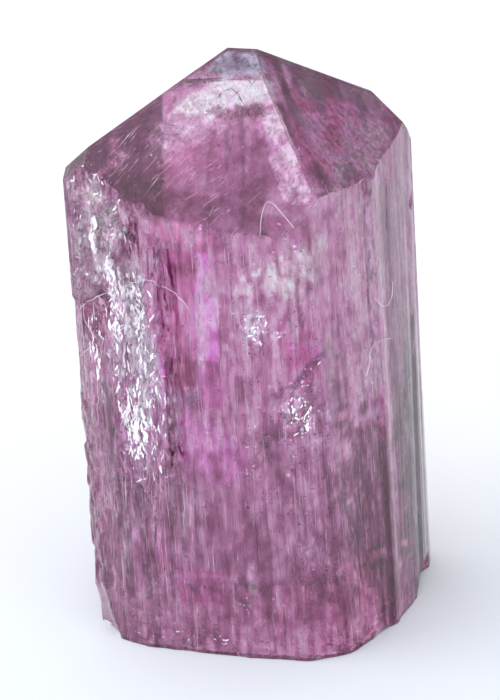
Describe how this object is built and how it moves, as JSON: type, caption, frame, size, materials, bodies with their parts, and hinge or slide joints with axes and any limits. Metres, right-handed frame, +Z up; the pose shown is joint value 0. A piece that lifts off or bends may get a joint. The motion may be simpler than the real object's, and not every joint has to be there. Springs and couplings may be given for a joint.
{
  "type": "topaz crystal",
  "caption": "Upright rough gem crystal: striated prism with a pyramidal top, clear and pink-violet, broken on one side, standing on a flat cleavage.",
  "frame": {"origin": "centre of the flat cleaved base, on the surface that the crystal stands on", "axes": "+Z up along the prism to the pointed top, -Y towards the front, where the long front face and the corner beside it meet the eye"},
  "size_m": [0.0106, 0.0096, 0.018],
  "materials": {
    "topaz": "clear stone with satin striated faces, clouds and cracks inside"
  },
  "bodies": {
    "root": {"topaz_crystal": "topaz"}
  },
  "joints": []
}
